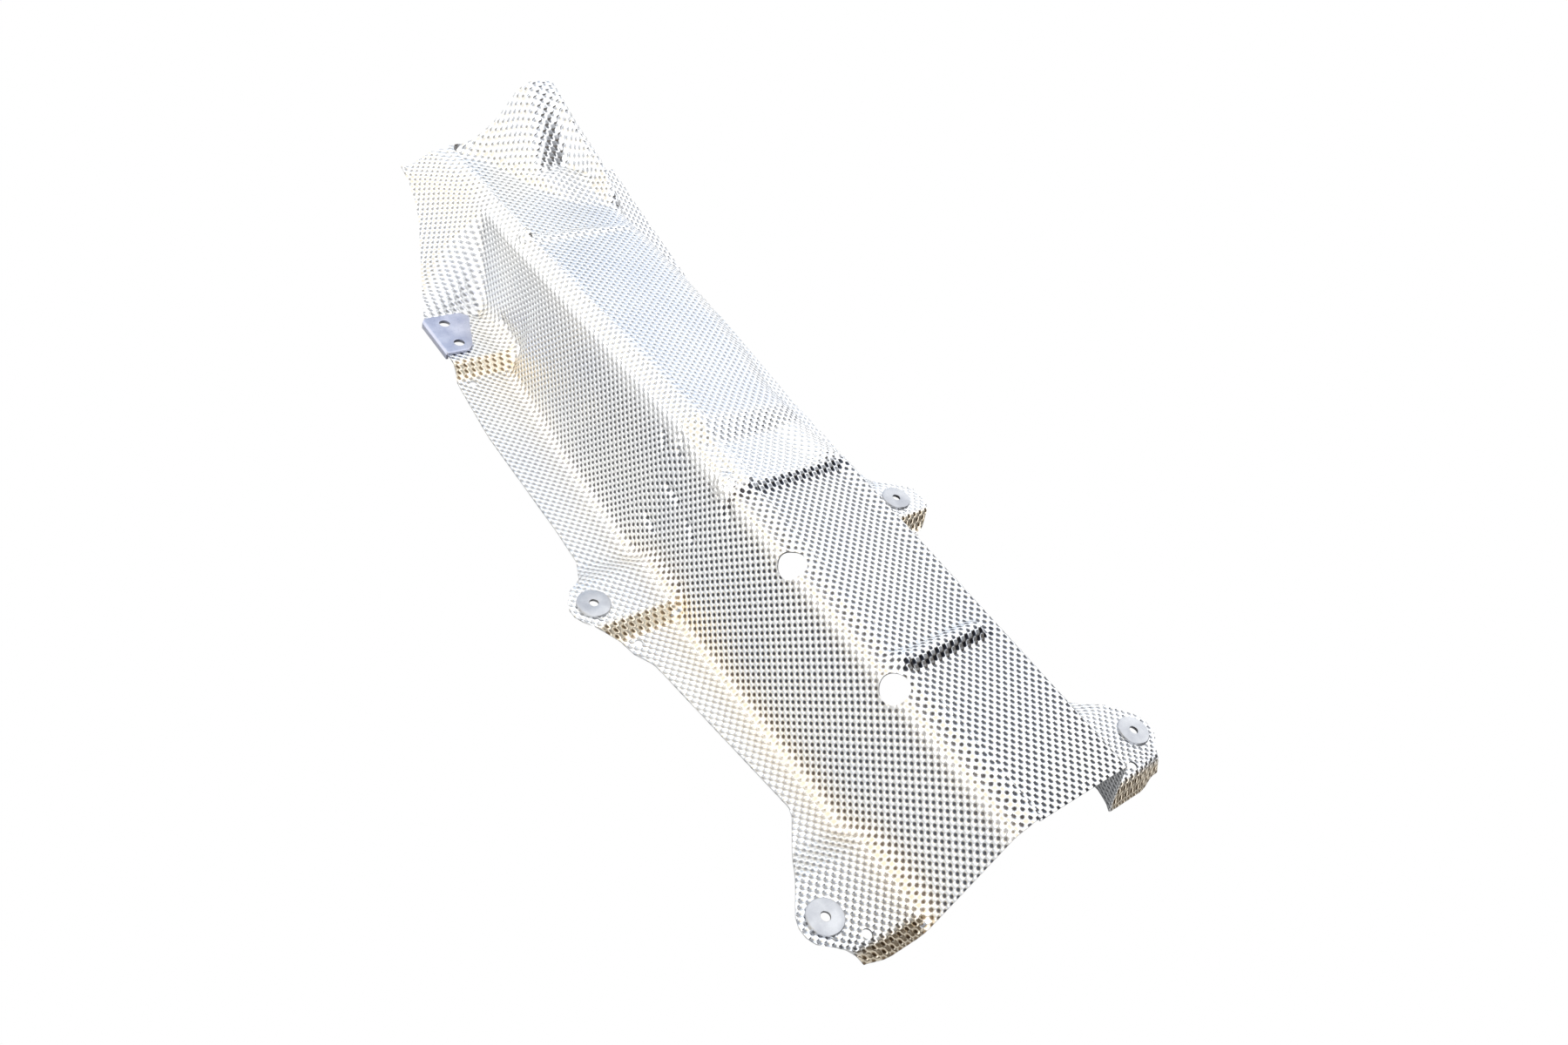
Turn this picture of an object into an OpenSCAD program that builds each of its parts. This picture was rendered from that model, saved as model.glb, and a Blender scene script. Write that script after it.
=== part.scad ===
// Exhaust tunnel heat shield: one long hat-section pressing of embossed
// aluminium sheet, with four steel washers on its ears and a folded steel
// plate on the ear at the flared end.
// X runs along the tunnel from the plain end to the flared end, Y across it,
// Z up. The flanges lie on Z = 0 and the origin is under the middle of the box.

/* [Sheet] */
// length of the pressing from end to end
shield_length = 779; // [760:1:830]
// thickness of the embossed sheet
sheet_t = 1.6; // [1.2:0.1:2.2]
// radius of the bend between top and wall
ridge_r = 12; // [6:0.5:15]
// radius of the bend between wall and flange
foot_r = 10; // [4:0.5:12]
// radius of the bend between wall and ear
ear_foot_r = 18; // [8:0.5:20]

/* [Tunnel section] */
// width of the tunnel between the feet of its walls
tunnel_w = 186; // [178:1:194]
// width of the top between the two ridges
top_w = 109; // [100:1:116]
// how far the tunnel lies off the middle line
tunnel_shift = 5; // [0:0.5:8]
// height of the ridge over the flange at the plain end
front_h = 83; // [75:1:90]
// rise of the ridge from the plain end to the lower step
run_rise = 11; // [4:0.5:14]
// rise of the top between the ridges over the same length
top_rise = 6; // [0:0.5:10]
// crown of the top
crown_h = 1; // [0:0.5:3]

/* [Steps of the top] */
// drop of the step below the pocket
low_step_h = 5; // [2:0.5:8]
// drop of the step between the raised panel and the pocket
high_step_h = 7; // [3:0.5:10]
// fall of the raised panel towards the flared end
panel_fall = 11; // [2:0.5:12]
// length of the pocket between the steps
pocket_len = 44; // [36:1:54]

/* [Bead and rib] */
// distance of the cross bead from the front washers
bead_x = 93; // [86:1:110]
// width of the cross bead
bead_w = 18; // [12:1:22]
// height of the cross bead
bead_h = 6; // [3:0.5:8]
// height of the rib at the end of the raised panel
rib_h = 3; // [1:0.5:5]

/* [Ears] */
// distance from the plain end to the front washers
front_ear_x = 37; // [34:1:44]
// distance from the front washers to the middle washers
ear_pitch = 272; // [262:1:282]
// distance from the front washers to the plate on the rear ear
rear_ear_x = 588; // [576:1:596]
// distance of the washers from the middle line
washer_y = 153; // [149:1:157]
// how much closer the middle washer on the right lies
mid_inset = 8; // [0:1:10]
// height of the ear pads above the flange
pad_h = 10; // [6:0.5:13]
// radius of the rounded ears
ear_r = 18; // [16:0.5:20]

/* [Flared end] */
// rise of the hump at the flared end above the ridge
hump_h = 64; // [40:1:70]
// rise of the left wing at the flared end above its ear
wing_rise = 71; // [50:1:74]
// rise of the left ridge towards its tip
tip_rise = 8; // [0:0.5:10]

/* [Washers and holes] */
// outer diameter of the washers
washer_d = 25; // [20:0.5:28]
// bore of the washers
washer_bore = 6.6; // [5.5:0.1:8.5]
// thickness of the washers
washer_t = 2; // [1:0.1:3]
// clearance hole in the sheet below a washer
ear_hole_d = 9; // [9:0.5:12]
// drain holes in the front ears and in the flange
drain_d = 7; // [4:0.5:9]
// round openings on the left ridge
port_d = 21; // [14:0.5:24]

/* [Rear plate] */
// length of the plate
plate_len = 50; // [46:1:54]
// width of the plate at its rear edge
plate_w = 40; // [34:1:44]
// thickness of the plate
plate_t = 2; // [1:0.1:3]
// depth of the lip folded down over the edge of the ear
plate_lip = 6; // [4:0.5:10]
// distance between the two holes
plate_pitch = 28; // [22:1:30]
// diameter of the two holes
plate_hole_d = 9; // [6:0.5:11]

/* [Hidden] */
$fn = 40;

aluminium = [0.83, 0.84, 0.86];
steel = [0.62, 0.63, 0.66];
bright_steel = [0.55, 0.57, 0.63];

// lengths of the steps, the lips and the slopes behind the ears
step_run = 7;
high_run = 20;
lip_run = 10;
fall_run = 26;
pad_half = 25;

// stations along X, all taken from the front washers
x_front = -shield_length / 2;
x_rear = shield_length / 2;
ear_f = x_front + front_ear_x;
ear_m = ear_f + ear_pitch;
ear_b = ear_f + rear_ear_x;
bead = ear_f + bead_x;
low_step = ear_m - 9;
high_step = low_step + step_run / 2 + pocket_len;
rib = ear_b + 6;
wing_0 = ear_b + 25;
hump_0 = wing_0 + 10;
port_1 = bead - 13;
port_2 = ear_m - 79;
port_tilt = 38;

washer_z = sheet_t + pad_h;
mid_right_y = -(washer_y - mid_inset);
ear_edge = washer_y + ear_r;

function mix(a, b, t) = a + (b - a) * t;
function ramp(a, b, x) = min(1, max(0, (x - a) / (b - a)));
function ease(a, b, x) = let (t = ramp(a, b, x)) t * t * (3 - 2 * t);
// flat-topped swell: up from a to b, down from c to d
function pad(a, b, c, d, x) = min(ease(a, b, x), 1 - ease(c, d, x));
// round end of an ear, or far below it where the ear is not met
function round_end(x, cx, cy, r) =
    abs(x - cx) < r ? cy + sqrt(r * r - (x - cx) * (x - cx)) : -1000;

// heights of the sheet's upper face over the flange
function lift_ears(x) = pad_h * max(
    pad(x_front, x_front + lip_run, ear_f + pad_half, ear_f + pad_half + fall_run, x),
    pad(ear_m - 30, ear_m - 19, ear_m + 18, ear_m + 18 + fall_run, x));
function lift_left(x) = x < ear_b
    ? max(lift_ears(x), pad_h * ease(ear_b - 46, ear_b - 34, x))
    : pad_h + wing_rise * pow(ramp(wing_0, x_rear, x), 0.92);
function lift_right(x) = lift_ears(x) + (wing_rise - 15) * ramp(wing_0 - 10, x_rear, x);

function ridge_left_h(x) = front_h + run_rise * ramp(x_front, low_step, x)
    + 2 * ramp(low_step, high_step + high_run, x)
    - (panel_fall - 1) * ramp(high_step + high_run, rib, x)
    + tip_rise * ramp(x_rear - 70, x_rear, x);
function ridge_right_h(x) = ridge_left_h(x) - tip_rise * ramp(x_rear - 70, x_rear, x)
    + (hump_h - 13) * lookup((x - hump_0) / (x_rear - hump_0),
        [[0, 0], [0.12, 0.3], [0.4, 0.62], [0.75, 0.8], [1, 1]]);
function panel_h(x) = front_h + top_rise * ramp(x_front, low_step - step_run / 2, x)
    + low_step_h * ramp(low_step - step_run / 2, low_step + step_run / 2, x)
    + high_step_h * ramp(high_step, high_step + high_run, x)
    - panel_fall * ramp(high_step + high_run, rib, x);
// the bank along the right side of the pocket
function bank_at(x, y, yr) = 0.6 * high_step_h * (1 - ease(yr + 13, yr + 31, y))
    * pad(low_step + 2, low_step + 12, high_step, high_step + high_run, x);

// the hump: a low foot, a curved fold and a steep scoop up to its crest; both
// lines run back towards the left and leave a valley beside the left ridge
function hump_foot(y) = x_rear - lookup(y, [[-66, 116], [-25, 102], [-6, 73], [11, 32], [40, 6]]);
function hump_fold(y) = x_rear - lookup(y,
    [[-66, 106], [-58, 86], [-50, 66], [-43, 61], [-14, 66], [-4, 56], [11, 26], [40, 3]]);
function hump_run(x, y) = let (
    a = hump_foot(y), b = hump_fold(y), r = ramp(b + 4, x_rear, x))
    0.17 * ramp(a, b, x) - 0.05 * ramp(b, b + 4, x)
    + 0.88 * mix(r, sin(90 * r), lookup(y, [[-66, 0.9], [-30, 0.3], [0, 0]]));
hump_side = [[-66, 0.86], [-58, 0.97], [-46, 1], [-31, 1], [-24, 0.94], [-18, 0.85],
             [-12, 0.71], [-6, 0.55], [6, 0.34], [19, 0.18], [27, 0.12], [46, 0.1], [57, 0]];
function hump(x, y) = hump_h * hump_run(x, y) * lookup(y, hump_side);
// a rounded bar across the top, with round ends
function bar(d, w) = abs(d) < w / 2 ? cos(180 * d / w) : 0;
function bead_at(x, y, yl, yr) = bead_h * bar(x - bead, bead_w) * pad(yr + 6, yr + 14, yl - 10, yl, y)
    + rib_h * bar(x - rib, 10) * pad(yr, yr + 8, yl - 8, yl, y);

// lines of the section across Y, left and right of the tunnel
tunnel_l = tunnel_shift + tunnel_w / 2;
tunnel_r = tunnel_shift - tunnel_w / 2;
top_l = tunnel_shift + top_w / 2;
top_r = tunnel_shift - top_w / 2;
// the wall's foot at the rear ear stands clear of the plate
plate_edge = washer_y - 30;
plate_foot = plate_edge - plate_w - 15 - tunnel_l;
function foot_left(x) = tunnel_l + lookup(x,
    [[ear_m - 10, 0], [ear_m + 70, -5], [ear_m + 155, -9], [ear_b - 56, plate_foot * 0.67],
     [ear_b - 38, plate_foot], [wing_0, plate_foot]]);
function ridge_left(x) = top_l + lookup(x,
    [[low_step, 0], [high_step + high_run, -2], [rib, -5], [wing_0 + 60, -8],
     [x_rear - 40, -5], [x_rear, -2]]);
// the wing grows out of the left wall: the corner between them climbs from the
// foot up to the ridge, then runs out along the ridge to the tip
function corner_left_h(x) = x < ear_b ? lift_left(x)
    : mix(pad_h, ridge_left_h(x) - 6, ramp(wing_0, wing_0 + 42, x))
        - tip_rise * ramp(x_rear - 70, x_rear, x);
function corner_left(x) = let (h = corner_left_h(x), yl = ridge_left(x))
    mix(foot_left(x) + (yl - foot_left(x)) * h / ridge_left_h(x),
        top_l + lookup(x - x_rear, [[-130, 6], [-88, -2], [-65, 2], [-40, 11], [-20, 18], [0, 21]]),
        ease(wing_0, wing_0 + 42, x));
function ridge_right(x) = top_r + lookup(x,
    [[low_step, 0], [low_step + 38, 8], [high_step + 49, 7], [high_step + 92, -4],
     [high_step + 164, -15], [rib - 25, -21], [rib + 30, -20], [x_rear, -17]]);
function foot_right(x) = tunnel_r + lookup(x,
    [[low_step, 0], [low_step + 64, 4], [high_step + 114, -6], [rib - 25, -20],
     [wing_0 + 60, -42], [x_rear, -56]]);

// outer edge of the sheet, from the line of the washers
function edge_left(x) = washer_y + max(
    lookup(x, [[x_front, -9], [ear_f - 17, 6], [ear_f + 14, 12], [ear_f + 52, -18],
        [ear_f + 73, -34], [ear_m - 58, -17], [ear_m - 44, -9], [ear_m - 30, -6],
        [ear_m - 18, 9], [ear_m + 18, 10], [ear_m + 26, -4], [ear_m + 48, -16],
        [ear_m + 82, -18], [ear_b - 118, -20],
        [ear_b - 50, -27], [ear_b - 40, -30], [wing_0 - 4, -30], [wing_0 + 30, -42],
        [wing_0 + 80, -61], [wing_0 + 98, -65], [x_rear - 16, -66], [x_rear, -66]]),
    round_end(x, ear_f, 0, ear_r), round_end(x, ear_m, 0, ear_r));
function edge_right(x) = -washer_y - max(
    lookup(x, [[x_front, -1], [ear_f - 17, 6], [ear_f + 20, 8], [ear_f + 40, -14],
        [ear_f + 73, -26], [ear_m - 145, -16], [ear_m - 50, -16], [ear_m - 38, -12],
        [ear_m - 28, 4], [ear_m - 17, 15], [ear_m - 8, 17], [ear_m + 5, 17], [ear_m + 25, -10],
        [ear_m + 40, -7], [ear_m + 157, -4], [rib - 45, 6], [wing_0, 5],
        [wing_0 + 90, -10], [x_rear, -15]]),
    round_end(x, ear_f, 0, ear_r), round_end(x, ear_m, -mid_inset, ear_r));

// points of a bend of radius r at corner b, between a and c
function bend(a, b, c, r, n, most = 0.8) = let (
    u = (a - b) / norm(a - b), v = (c - b) / norm(c - b),
    turn = 180 - acos(max(-1, min(1, u * v))),
    cut = min(r * tan(turn / 2), norm(a - b) * 0.45, norm(c - b) * most),
    s = b + cut * u, e = b + cut * v)
    [for (k = [0 : n - 1]) let (t = k / (n - 1))
        (1 - t) * (1 - t) * s + 2 * t * (1 - t) * b + t * t * e];

// upper face of the top at a station, blended into the two ridges
blend_w = 13;
function top_z(x, y, yl, yr) = let (
    mid = (yl + yr) / 2, half = (yl - yr) / 2,
    in_l = ease(0, blend_w, yl - y), in_r = ease(0, blend_w, y - yr),
    inner = panel_h(x) + hump(x, y) + crown_h * (1 - pow((y - mid) / half, 2))
        + bead_at(x, y, yl - 3, yr + 6) + bank_at(x, y, yr))
    mix(ridge_right_h(x), mix(ridge_left_h(x), inner, in_l), in_r);

// one section: [y, z] points of the upper face from the left edge to the right
top_n = 12;
function wall_at(foot, ridge, h, lift) = foot + (ridge - foot) * lift / h;
function section(x) = let (
    yl = ridge_left(x), yr = ridge_right(x),
    hl = ridge_left_h(x), hr = ridge_right_h(x),
    ll = lift_left(x), lr = lift_right(x),
    el = [edge_left(x), ll], er = [edge_right(x), lr],
    fl = [corner_left(x), corner_left_h(x)],
    fr = [wall_at(foot_right(x), yr, hr, lr), lr],
    rl = [yl, hl], rr = [yr, hr],
    fold_l = mix(foot_r, ear_foot_r, min(1, ll / pad_h)),
    fold_r = mix(foot_r, ear_foot_r, min(1, lr / pad_h)),
    inset = ridge_r * 0.7,
    tops = [for (k = [0 : top_n - 1]) let (y = mix(yl - inset, yr + inset, k / (top_n - 1)))
        [y, top_z(x, y, yl, yr)]],
    bend_fl = bend(el, fl, rl, fold_l, 4, 0.5), bend_rl = bend(fl, rl, tops[0], ridge_r, 4),
    bend_rr = bend(tops[top_n - 1], rr, fr, ridge_r, 4), bend_fr = bend(rr, fr, er, fold_r, 4))
    concat([el, mix(el, bend_fl[0], 0.4), mix(el, bend_fl[0], 0.75)], bend_fl, [mix(bend_fl[3], bend_rl[0], 0.5)],
        [for (k = [0 : 2]) bend_rl[k]], tops, [for (k = [1 : 3]) bend_rr[k]],
        [mix(bend_rr[3], bend_fr[0], 0.5)], bend_fr, [mix(bend_fr[3], er, 0.25), mix(bend_fr[3], er, 0.6), er]);

// how far a point of the section stands off its station along X: the two steps
// run slightly askew over the top, and the lips of the ears are cut back
function askew(x, y, yl, yr) = let (
    mid = (yl + yr) / 2, half = (yl - yr) / 2, t = (y - mid) / half)
    half * (abs(t) < 1 ? t : sign(t) * max(0, 2 - abs(t)))
        * lookup(x, [[bead + 10, 0], [low_step, 0.045], [high_step, 0],
            [high_step + high_run, 0.1], [high_step + 110, 0]])
    + 5 * ease(washer_y - 28, washer_y - 4, abs(y)) * (1 - ramp(x_front, x_front + 20, x));
function stand(x, s) = [for (p = s) [x + askew(x, p[0], ridge_left(x), ridge_right(x)),
    p[0], p[1] + sheet_t]];

// the lower face: each point moved in by the sheet along the section's normal
function below(s) = let (last = len(s) - 1)
    [for (k = [0 : last]) let (
        d = s[min(k + 1, last)] - s[max(k - 1, 0)], n = [d[1], -d[0]] / norm(d))
        s[k] - sheet_t * n];

function span(a, b, n) = [for (k = [0 : n - 1]) mix(a, b, k / n)];
stations = concat(
    span(x_front, x_front + lip_run, 4), span(x_front + lip_run, ear_f + pad_half, 4),
    span(ear_f + pad_half, ear_f + pad_half + fall_run, 3),
    span(ear_f + pad_half + fall_run, bead - bead_w / 2, 2),
    span(bead - bead_w / 2, bead + bead_w / 2, 6), span(bead + bead_w / 2, ear_m - 30, 4),
    span(ear_m - 30, ear_m - 19, 3), span(ear_m - 19, low_step - step_run / 2, 2),
    span(low_step - step_run / 2, low_step + step_run / 2, 2),
    span(low_step + step_run / 2, ear_m + 18, 2), span(ear_m + 18, high_step, 3),
    span(high_step, high_step + high_run, 3), span(high_step + high_run, ear_b - 46, 6),
    span(ear_b - 46, ear_b - 34, 3), span(ear_b - 34, rib - 5, 4), span(rib - 5, rib + 5, 4),
    span(rib + 5, wing_0, 1), span(wing_0, x_rear - 50, 9), span(x_rear - 50, x_rear, 5), [x_rear]);

module pressed_sheet() {
    upper = [for (x = stations) section(x)];
    n = len(stations);
    m = len(upper[0]);
    all = n * m;
    points = concat(
        [for (i = [0 : n - 1]) each stand(stations[i], upper[i])],
        [for (i = [0 : n - 1]) each stand(stations[i], below(upper[i]))]);
    skin = [for (i = [0 : n - 2]) for (j = [0 : m - 2]) let (a = i * m + j)
        each [[a, a + m, a + 1], [a + 1, a + m, a + m + 1],
              [all + a, all + a + 1, all + a + m],
              [all + a + 1, all + a + m + 1, all + a + m]]];
    sides = [for (i = [0 : n - 2]) let (a = i * m, b = i * m + m - 1)
        each [[a, all + a, a + m], [a + m, all + a, all + a + m],
              [b, b + m, all + b], [b + m, all + b + m, all + b]]];
    ends = [for (j = [0 : m - 2]) let (a = j, b = (n - 1) * m + j)
        each [[a, a + 1, all + a], [a + 1, all + a + 1, all + a],
              [b, all + b, b + 1], [b + 1, all + b, all + b + 1]]];
    polyhedron(points = points, faces = concat(skin, sides, ends), convexity = 8);
}

module hole(x, y, d) {
    translate([x, y, -1])
        cylinder(h = front_h + hump_h + 40, d = d);
}

// round opening square to the slope of the left ridge
module port(x) {
    translate([x, top_l - 1, ridge_left_h(x)])
        rotate([-port_tilt, 0, 0])
            cylinder(h = 30, d = port_d, center = true);
}

module shield() {
    color(aluminium)
        difference() {
            pressed_sheet();
            hole(ear_f, washer_y, ear_hole_d);
            hole(ear_f, -washer_y, ear_hole_d);
            hole(ear_m, washer_y, ear_hole_d);
            hole(ear_m, mid_right_y, ear_hole_d);
            hole(ear_f - 21, washer_y - 17, drain_d);
            hole(ear_f - 21, -washer_y + 25, drain_d);
            hole(ear_m - 37, washer_y - 17, drain_d - 1);
            hole(ear_b - 54, plate_edge - 9, drain_d - 1);
            port(port_1);
            port(port_2);
            for (side = [-1, 1])
                hole(ear_b + side * plate_pitch / 2, plate_edge - 15, plate_hole_d + 1.5);
        }
}

module washer(x, y) {
    color(steel)
        translate([x, y, washer_z])
            difference() {
                cylinder(h = washer_t, d = washer_d);
                translate([0, 0, -1])
                    cylinder(h = washer_t + 2, d = washer_bore);
            }
}

module washer_front_left() washer(ear_f, washer_y);
module washer_front_right() washer(ear_f, -washer_y);
module washer_mid_left() washer(ear_m, washer_y);
module washer_mid_right() washer(ear_m, mid_right_y);

// folded plate on the rear ear: a flat leaf with two holes and a lip
module rear_plate() {
    color(bright_steel)
        translate([ear_b, plate_edge, washer_z])
            difference() {
                union() {
                    linear_extrude(plate_t)
                        polygon([[-plate_len / 2, plate_t], [plate_len / 2 - 4, plate_t],
                            [plate_len / 2, plate_t - 4], [plate_len / 2, 6 - plate_w],
                            [plate_len / 2 - 6, -plate_w], [6 - plate_len / 2, -plate_w * 0.62],
                            [-plate_len / 2, 6 - plate_w * 0.62]]);
                    translate([-plate_len / 2, 0, plate_t - plate_lip])
                        cube([plate_len - 4, plate_t, plate_lip]);
                }
                for (side = [-1, 1])
                    translate([side * plate_pitch / 2, -15, -plate_lip])
                        cylinder(h = 2 * plate_lip + plate_t, d = plate_hole_d);
            }
}

shield();
washer_front_left();
washer_front_right();
washer_mid_left();
washer_mid_right();
rear_plate();
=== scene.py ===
import math

import bmesh
import bpy
import numpy as np
from mathutils import Matrix


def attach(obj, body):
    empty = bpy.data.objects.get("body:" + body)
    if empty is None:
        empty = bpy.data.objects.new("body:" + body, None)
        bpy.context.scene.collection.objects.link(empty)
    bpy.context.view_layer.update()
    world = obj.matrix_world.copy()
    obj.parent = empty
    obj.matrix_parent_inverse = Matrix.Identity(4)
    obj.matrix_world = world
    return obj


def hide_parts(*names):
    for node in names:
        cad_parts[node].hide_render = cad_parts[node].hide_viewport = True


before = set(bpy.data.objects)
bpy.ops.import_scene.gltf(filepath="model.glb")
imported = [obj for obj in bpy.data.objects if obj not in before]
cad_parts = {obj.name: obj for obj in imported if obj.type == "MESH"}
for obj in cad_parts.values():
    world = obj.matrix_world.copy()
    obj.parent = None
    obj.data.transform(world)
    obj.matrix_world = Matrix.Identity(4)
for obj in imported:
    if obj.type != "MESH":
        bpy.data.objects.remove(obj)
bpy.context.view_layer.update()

MM = 0.001
root = "root"

# Sizes of the part in mm, as in its OpenSCAD source.
LENGTH, SHEET = 779.0, 1.6
RIDGE_R, FOOT_R, EAR_FOOT_R = 12.0, 10.0, 18.0
TUNNEL_W, TOP_W, SHIFT = 186.0, 109.0, 5.0
FRONT_H, RUN_RISE, TOP_RISE, CROWN = 83.0, 11.0, 6.0, 1.0
LOW_STEP_H, HIGH_STEP_H, PANEL_FALL, POCKET = 5.0, 7.0, 11.0, 44.0
BEAD_W, BEAD_H, RIB_H = 18.0, 6.0, 3.0
WASHER_Y, MID_INSET, PAD_H, EAR_R = 153.0, 8.0, 10.0, 18.0
HUMP_H, WING_RISE, TIP_RISE = 64.0, 71.0, 8.0
WASHER_D, WASHER_BORE, WASHER_T = 25.0, 6.6, 2.0
EAR_HOLE, DRAIN, PORT, PORT_TILT = 9.0, 7.0, 21.0, 38.0
PLATE_L, PLATE_W, PLATE_T, PLATE_LIP = 50.0, 40.0, 2.0, 6.0
PLATE_PITCH, PLATE_HOLE = 28.0, 9.0
STEP_RUN, HIGH_RUN, LIP_RUN, FALL_RUN, PAD_HALF = 7.0, 20.0, 10.0, 26.0, 25.0
BLEND_W = 13.0                # of the top into its two ridges
TIP_RUN = 70.0                # length over which the left ridge rises to its tip

X0, X1 = -LENGTH / 2, LENGTH / 2
EAR_F = X0 + 37.0
EAR_M = EAR_F + 272.0
EAR_B = EAR_F + 588.0
BEAD = EAR_F + 93.0
LOW = EAR_M - 9.0
HIGH = LOW + STEP_RUN / 2 + POCKET
RIB = EAR_B + 6.0
WING = EAR_B + 25.0
HUMP = WING + 10.0
PORT_1, PORT_2 = BEAD - 13.0, EAR_M - 79.0
TUN_L, TUN_R = SHIFT + TUNNEL_W / 2, SHIFT - TUNNEL_W / 2
TOP_L, TOP_R = SHIFT + TOP_W / 2, SHIFT - TOP_W / 2
PLATE_EDGE = WASHER_Y - 30.0
PLATE_FOOT = PLATE_EDGE - PLATE_W - 15.0 - TUN_L


def ramp(a, b, x):
    """From 0 at a to 1 at b, straight."""
    return np.clip((x - a) / (b - a), 0.0, 1.0)


def ease(a, b, x):
    """From 0 at a to 1 at b, with soft ends."""
    t = ramp(a, b, x)
    return t * t * (3 - 2 * t)


def pad(a, b, c, d, x):
    """1 between b and c, 0 before a and after d."""
    return np.minimum(ease(a, b, x), 1 - ease(c, d, x))


def mix(a, b, t):
    return a + (b - a) * t


def look(x, *table):
    """The value at x in a table of (x, value) pairs."""
    return np.interp(x, [t[0] for t in table], [t[1] for t in table])


def soft(y, reach, *table):
    """As look(), with the corners of the table rounded."""
    return sum(look(y + d * reach, *table) for d in (-1, -0.5, 0, 0.5, 1)) / 5


def round_end(x, cx, cy, r):
    """The outer edge of a disc at x, or far inside where the disc isn't."""
    d = r * r - (x - cx) ** 2
    return np.where(d > 0, cy + np.sqrt(np.maximum(d, 0)), -1000.0)


def lift_ears(x):
    return PAD_H * np.maximum(
        pad(X0, X0 + LIP_RUN, EAR_F + PAD_HALF, EAR_F + PAD_HALF + FALL_RUN, x),
        pad(EAR_M - 30, EAR_M - 19, EAR_M + 18, EAR_M + 18 + FALL_RUN, x))


def lift_left(x):
    near = np.maximum(lift_ears(x), PAD_H * ease(EAR_B - 46, EAR_B - 34, x))
    far = PAD_H + WING_RISE * ramp(WING, X1, x) ** 0.92
    return np.where(x < EAR_B, near, far)


def lift_right(x):
    return lift_ears(x) + (WING_RISE - 15) * ramp(WING - 10, X1, x)


def ridge_left_h(x):
    return (FRONT_H + RUN_RISE * ramp(X0, LOW, x) + 2 * ramp(LOW, HIGH + HIGH_RUN, x)
            - (PANEL_FALL - 1) * ramp(HIGH + HIGH_RUN, RIB, x)
            + TIP_RISE * ramp(X1 - TIP_RUN, X1, x))


def ridge_right_h(x):
    return (ridge_left_h(x) - TIP_RISE * ramp(X1 - TIP_RUN, X1, x)
            + (HUMP_H - 13) * look((x - HUMP) / (X1 - HUMP), (0, 0), (0.12, 0.3), (0.4, 0.62),
                                   (0.75, 0.8), (1, 1)))


def panel_h(x):
    return (FRONT_H + TOP_RISE * ramp(X0, LOW - STEP_RUN / 2, x)
            + LOW_STEP_H * ramp(LOW - STEP_RUN / 2, LOW + STEP_RUN / 2, x)
            + HIGH_STEP_H * ramp(HIGH, HIGH + HIGH_RUN, x)
            - PANEL_FALL * ramp(HIGH + HIGH_RUN, RIB, x))


def bank_at(x, y, yr):
    return (0.6 * HIGH_STEP_H * (1 - ease(yr + 13, yr + 31, y))
            * pad(LOW + 2, LOW + 12, HIGH, HIGH + HIGH_RUN, x))


def hump_foot(y):
    return X1 - soft(y, 3, (-66, 116), (-25, 102), (-6, 73), (11, 32), (40, 6))


def hump_fold(y):
    return X1 - soft(y, 3, (-66, 106), (-58, 86), (-50, 66), (-43, 61), (-14, 66), (-4, 56),
                     (11, 26), (40, 3))


def hump_run(x, y):
    a, b = hump_foot(y), hump_fold(y)
    r = ramp(b + 4, X1, x)
    return (0.17 * ramp(a, b, x) - 0.05 * ramp(b, b + 4, x)
            + 0.88 * mix(r, np.sin(r * np.pi / 2), look(y, (-66, 0.9), (-30, 0.3), (0, 0))))


def hump(x, y):
    side = soft(y, 3, (-66, 0.86), (-58, 0.97), (-46, 1), (-31, 1), (-24, 0.94), (-18, 0.85),
                (-12, 0.71), (-6, 0.55), (6, 0.34), (19, 0.18), (27, 0.12), (46, 0.1), (57, 0))
    return HUMP_H * hump_run(x, y) * side


def bar(d, w):
    return np.where(np.abs(d) < w / 2, np.cos(np.pi * d / w), 0.0)


def bead_at(x, y, yl, yr):
    return (BEAD_H * bar(x - BEAD, BEAD_W) * pad(yr + 6, yr + 14, yl - 10, yl, y)
            + RIB_H * bar(x - RIB, 10) * pad(yr, yr + 8, yl - 8, yl, y))


def foot_left(x):
    return TUN_L + look(x, (EAR_M - 10, 0), (EAR_M + 70, -5), (EAR_M + 155, -9),
                        (EAR_B - 56, PLATE_FOOT * 0.67), (EAR_B - 38, PLATE_FOOT),
                        (WING, PLATE_FOOT))


def ridge_left(x):
    return TOP_L + look(x, (LOW, 0), (HIGH + HIGH_RUN, -2), (RIB, -5), (WING + 60, -8),
                        (X1 - 40, -5), (X1, -2))


def corner_left_h(x):
    wing = (mix(PAD_H, ridge_left_h(x) - 6, ramp(WING, WING + 42, x))
            - TIP_RISE * ramp(X1 - TIP_RUN, X1, x))
    return np.where(x < EAR_B, lift_left(x), wing)


def corner_left(x):
    h, yl, foot = corner_left_h(x), ridge_left(x), foot_left(x)
    return mix(foot + (yl - foot) * h / ridge_left_h(x),
               TOP_L + look(x - X1, (-130, 6), (-88, -2), (-65, 2), (-40, 11), (-20, 18), (0, 21)),
               ease(WING, WING + 42, x))


def ridge_right(x):
    return TOP_R + look(x, (LOW, 0), (LOW + 38, 8), (HIGH + 49, 7), (HIGH + 92, -4),
                        (HIGH + 164, -15), (RIB - 25, -21), (RIB + 30, -20), (X1, -17))


def foot_right(x):
    return TUN_R + look(x, (LOW, 0), (LOW + 64, 4), (HIGH + 114, -6), (RIB - 25, -20),
                        (WING + 60, -42), (X1, -56))


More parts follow.
